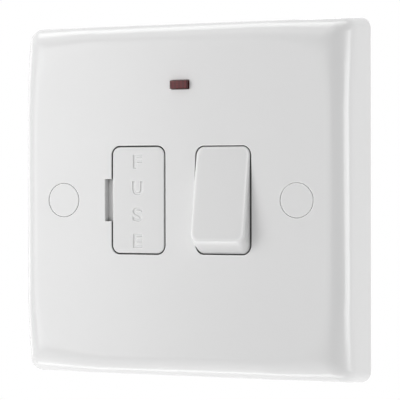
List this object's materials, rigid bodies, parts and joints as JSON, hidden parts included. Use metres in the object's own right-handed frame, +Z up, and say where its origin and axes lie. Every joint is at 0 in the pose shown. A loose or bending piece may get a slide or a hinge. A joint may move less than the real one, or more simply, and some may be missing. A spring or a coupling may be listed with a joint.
{
  "type": "switched fused connection unit",
  "caption": "White square wall plate with a pull-out fuse carrier, a rocker switch, a red indicator and capped fixing screws, for wiring a fixed appliance.",
  "frame": {"origin": "centre of the plate's back rim, between the two fixing screws", "axes": "+X to the right seen from the front, +Y into the wall, +Z up"},
  "size_m": [0.086, 0.037, 0.086],
  "materials": {
    "plate_white": "smooth moulded urea, soft gloss",
    "control_white": "smooth moulded thermoplastic, soft gloss",
    "base_white": "fine matt moulding",
    "plunger_nylon": "plain nylon",
    "lens_red": "polished red polycarbonate",
    "lamp_glass": "clear glass",
    "resistor_body": "lacquered",
    "fuse_ceramic": "matt ceramic",
    "fuse_metal": "nickel plate",
    "clip_bronze": "rolled bronze",
    "strap_brass": "pressed brass",
    "terminal_brass": "machined brass",
    "arm_copper": "rolled copper alloy",
    "contact_silver": "silver alloy",
    "spring_steel": "drawn wire",
    "lead_metal": "tinned wire",
    "plated_steel": "bright zinc plate"
  },
  "bodies": {
    "unit": {"front_plate": "plate_white", "screw_cap_left": "control_white", "screw_cap_right": "control_white", "fixing_screws": "plated_steel", "rear_housing": "base_white", "housing_screws": "plated_steel", "fuse_clip_lower": "clip_bronze", "fuse_clip_upper": "clip_bronze", "link_strap": "strap_brass", "load_strap_line": "strap_brass", "load_strap_neutral": "strap_brass", "terminal_screws": "plated_steel", "neon_lens": "lens_red", "neon_lamp": "lamp_glass", "neon_leads": "lead_metal", "neon_resistor": "resistor_body", "fixed_contact_line": "contact_silver", "pivot_bracket_line": "strap_brass", "fixed_contact_neutral": "contact_silver", "pivot_bracket_neutral": "strap_brass", "terminal_line_supply": "terminal_brass", "terminal_neutral_supply": "terminal_brass", "terminal_earth": "terminal_brass", "terminal_line_load": "terminal_brass", "terminal_neutral_load": "terminal_brass"},
    "rocker": {"rocker": "control_white", "spring_line": "spring_steel", "spring_neutral": "spring_steel"},
    "plunger_line": {"plunger_line": "plunger_nylon"},
    "contact_arm_line": {"contact_arm_line": "arm_copper", "moving_contact_line": "contact_silver"},
    "plunger_neutral": {"plunger_neutral": "plunger_nylon"},
    "contact_arm_neutral": {"contact_arm_neutral": "arm_copper", "moving_contact_neutral": "contact_silver"},
    "fuse_carrier": {"fuse_carrier": "control_white", "fuse_tube": "fuse_ceramic", "fuse_caps": "fuse_metal"}
  },
  "joints": [
    {"name": "rocker_tilt", "type": "hinge", "parent": "unit", "child": "rocker", "pos_m": [0.01178, -0.0095, 0], "axis": [1, 0, 0], "range_deg": [0, 21.6]},
    {"name": "fuse_carrier_slide", "type": "slide", "parent": "unit", "child": "fuse_carrier", "axis": [0, -1, 0], "range_m": [0, 0.012]},
    {"name": "plunger_line_slide", "type": "slide", "parent": "rocker", "child": "plunger_line", "axis": [0, -0.9823, 0.1874], "range_m": [0, 0.0015], "stiffness_N_per_m": 300, "springref_m": -0.001, "deforming": ["spring_line"]},
    {"name": "contact_arm_line_tilt", "type": "hinge", "parent": "unit", "child": "contact_arm_line", "pos_m": [0.00797, 0.00565, 0], "axis": [1, 0, 0], "range_deg": [-16, 0]},
    {"name": "plunger_neutral_slide", "type": "slide", "parent": "rocker", "child": "plunger_neutral", "axis": [0, -0.9823, 0.1874], "range_m": [0, 0.0015], "stiffness_N_per_m": 300, "springref_m": -0.001, "deforming": ["spring_neutral"]},
    {"name": "contact_arm_neutral_tilt", "type": "hinge", "parent": "unit", "child": "contact_arm_neutral", "pos_m": [0.01558, 0.00565, 0], "axis": [1, 0, 0], "range_deg": [-16, 0]}
  ],
  "couplings": [
    {"joint": "contact_arm_line_tilt", "follows": "rocker_tilt", "ratio": -0.7407},
    {"joint": "contact_arm_neutral_tilt", "follows": "rocker_tilt", "ratio": -0.7407}
  ]
}
